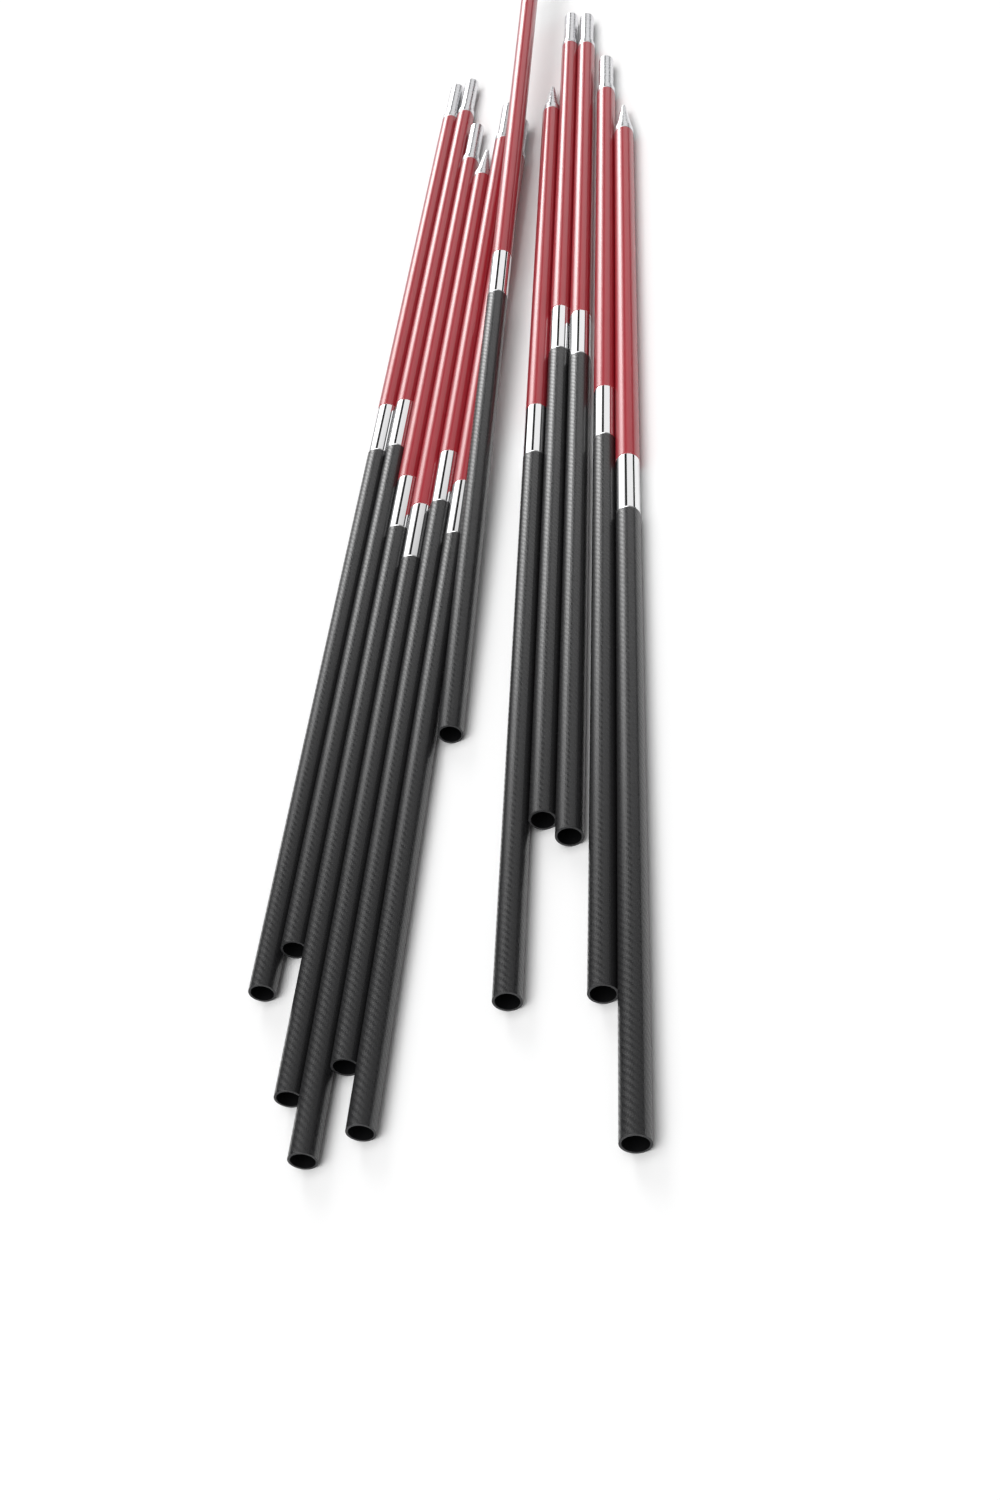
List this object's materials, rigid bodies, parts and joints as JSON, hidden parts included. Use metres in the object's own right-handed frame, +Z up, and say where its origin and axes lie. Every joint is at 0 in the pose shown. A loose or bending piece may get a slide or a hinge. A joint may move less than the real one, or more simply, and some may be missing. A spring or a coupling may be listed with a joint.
{
  "type": "sectional avalanche probe",
  "caption": "Straight push-fit sections of avalanche probe, each a carbon tube and a red tube joined by a polished sleeve, laid side by side with their open sockets forward.",
  "frame": {"origin": "middle of the bottom of the laid-out set's bounding box, on the surface that the tubes lie on", "axes": "+Y along the sections, from their open carbon sockets to their far ends; +X across the set, from the left group to the right; +Z up from the surface"},
  "size_m": [0.1826, 1.0326, 0.0331],
  "materials": {
    "red_anodised": "satin red anodised and lacquered",
    "polished_alloy": "mirror polished",
    "turned_alloy": "fine turned",
    "carbon_weave": "twill carbon weave under satin lacquer",
    "black_rubber": "matt"
  },
  "bodies": {
    "section_01": {"red_tube_01": "red_anodised", "joint_sleeve_01": "polished_alloy", "grip_ring_01": "black_rubber", "end_spigot_01": "turned_alloy"},
    "carbon_01": {"carbon_tube_01": "carbon_weave"},
    "section_02": {"red_tube_02": "red_anodised", "joint_sleeve_02": "polished_alloy", "grip_ring_02": "black_rubber", "end_spigot_02": "turned_alloy"},
    "carbon_02": {"carbon_tube_02": "carbon_weave"},
    "section_03": {"red_tube_03": "red_anodised", "joint_sleeve_03": "polished_alloy", "grip_ring_03": "black_rubber", "end_spigot_03": "turned_alloy"},
    "carbon_03": {"carbon_tube_03": "carbon_weave"},
    "section_04": {"red_tube_04": "red_anodised", "joint_sleeve_04": "polished_alloy", "grip_ring_04": "black_rubber", "probe_tip_04": "turned_alloy"},
    "carbon_04": {"carbon_tube_04": "carbon_weave"},
    "section_05": {"red_tube_05": "red_anodised", "joint_sleeve_05": "polished_alloy", "grip_ring_05": "black_rubber", "end_spigot_05": "turned_alloy"},
    "carbon_05": {"carbon_tube_05": "carbon_weave"},
    "section_06": {"red_tube_06": "red_anodised", "joint_sleeve_06": "polished_alloy", "grip_ring_06": "black_rubber", "end_spigot_06": "turned_alloy"},
    "carbon_06": {"carbon_tube_06": "carbon_weave"},
    "section_07": {"red_tube_07": "red_anodised", "joint_sleeve_07": "polished_alloy", "grip_ring_07": "black_rubber", "end_spigot_07": "turned_alloy"},
    "carbon_07": {"carbon_tube_07": "carbon_weave"},
    "section_08": {"red_tube_08": "red_anodised", "joint_sleeve_08": "polished_alloy", "grip_ring_08": "black_rubber", "probe_tip_08": "turned_alloy"},
    "carbon_08": {"carbon_tube_08": "carbon_weave"},
    "section_09": {"red_tube_09": "red_anodised", "joint_sleeve_09": "polished_alloy", "grip_ring_09": "black_rubber", "end_spigot_09": "turned_alloy"},
    "carbon_09": {"carbon_tube_09": "carbon_weave"},
    "section_10": {"red_tube_10": "red_anodised", "joint_sleeve_10": "polished_alloy", "grip_ring_10": "black_rubber", "end_spigot_10": "turned_alloy"},
    "carbon_10": {"carbon_tube_10": "carbon_weave"},
    "section_11": {"red_tube_11": "red_anodised", "joint_sleeve_11": "polished_alloy", "grip_ring_11": "black_rubber", "end_spigot_11": "turned_alloy"},
    "carbon_11": {"carbon_tube_11": "carbon_weave"},
    "section_12": {"red_tube_12": "red_anodised", "joint_sleeve_12": "polished_alloy", "grip_ring_12": "black_rubber", "probe_tip_12": "turned_alloy"},
    "carbon_12": {"carbon_tube_12": "carbon_weave"}
  },
  "joints": [
    {"name": "draw_02", "type": "slide", "parent": "section_01", "child": "section_02", "axis": [-0.0471, -0.9989, 0], "range_m": [0, 0.1]},
    {"name": "draw_03", "type": "slide", "parent": "section_01", "child": "section_03", "axis": [-0.0471, -0.9989, 0], "range_m": [0, 0.1]},
    {"name": "draw_04", "type": "slide", "parent": "section_01", "child": "section_04", "axis": [-0.0471, -0.9989, 0], "range_m": [0, 0.1]},
    {"name": "draw_05", "type": "slide", "parent": "section_01", "child": "section_05", "axis": [-0.0471, -0.9989, 0], "range_m": [0, 0.1]},
    {"name": "draw_06", "type": "slide", "parent": "section_01", "child": "section_06", "axis": [-0.0471, -0.9989, 0], "range_m": [0, 0.1]},
    {"name": "draw_07", "type": "slide", "parent": "section_01", "child": "section_07", "axis": [-0.0332, -0.9995, 0], "range_m": [0, 0.1]},
    {"name": "draw_08", "type": "slide", "parent": "section_01", "child": "section_08", "axis": [0, -1, 0], "range_m": [0, 0.1]},
    {"name": "draw_09", "type": "slide", "parent": "section_01", "child": "section_09", "axis": [0, -1, 0], "range_m": [0, 0.1]},
    {"name": "draw_10", "type": "slide", "parent": "section_01", "child": "section_10", "axis": [0, -1, 0], "range_m": [0, 0.1]},
    {"name": "draw_11", "type": "slide", "parent": "section_01", "child": "section_11", "axis": [0, -1, 0], "range_m": [0, 0.1]},
    {"name": "draw_12", "type": "slide", "parent": "section_01", "child": "section_12", "axis": [0, -1, 0], "range_m": [0, 0.1]},
    {"name": "unplug_01", "type": "slide", "parent": "section_01", "child": "carbon_01", "axis": [-0.0471, -0.9989, 0], "range_m": [0, 0.048]},
    {"name": "unplug_02", "type": "slide", "parent": "section_02", "child": "carbon_02", "axis": [-0.0471, -0.9989, 0], "range_m": [0, 0.048]},
    {"name": "unplug_03", "type": "slide", "parent": "section_03", "child": "carbon_03", "axis": [-0.0471, -0.9989, 0], "range_m": [0, 0.048]},
    {"name": "unplug_04", "type": "slide", "parent": "section_04", "child": "carbon_04", "axis": [-0.0471, -0.9989, 0], "range_m": [0, 0.048]},
    {"name": "unplug_05", "type": "slide", "parent": "section_05", "child": "carbon_05", "axis": [-0.0471, -0.9989, 0], "range_m": [0, 0.048]},
    {"name": "unplug_06", "type": "slide", "parent": "section_06", "child": "carbon_06", "axis": [-0.0471, -0.9989, 0], "range_m": [0, 0.048]},
    {"name": "unplug_07", "type": "slide", "parent": "section_07", "child": "carbon_07", "axis": [-0.0331, -0.9991, -0.0279], "range_m": [0, 0.048]},
    {"name": "unplug_08", "type": "slide", "parent": "section_08", "child": "carbon_08", "axis": [0, -1, 0], "range_m": [0, 0.048]},
    {"name": "unplug_09", "type": "slide", "parent": "section_09", "child": "carbon_09", "axis": [0, -1, 0], "range_m": [0, 0.048]},
    {"name": "unplug_10", "type": "slide", "parent": "section_10", "child": "carbon_10", "axis": [0, -1, 0], "range_m": [0, 0.048]},
    {"name": "unplug_11", "type": "slide", "parent": "section_11", "child": "carbon_11", "axis": [0, -1, 0], "range_m": [0, 0.048]},
    {"name": "unplug_12", "type": "slide", "parent": "section_12", "child": "carbon_12", "axis": [0, -1, 0], "range_m": [0, 0.048]}
  ]
}
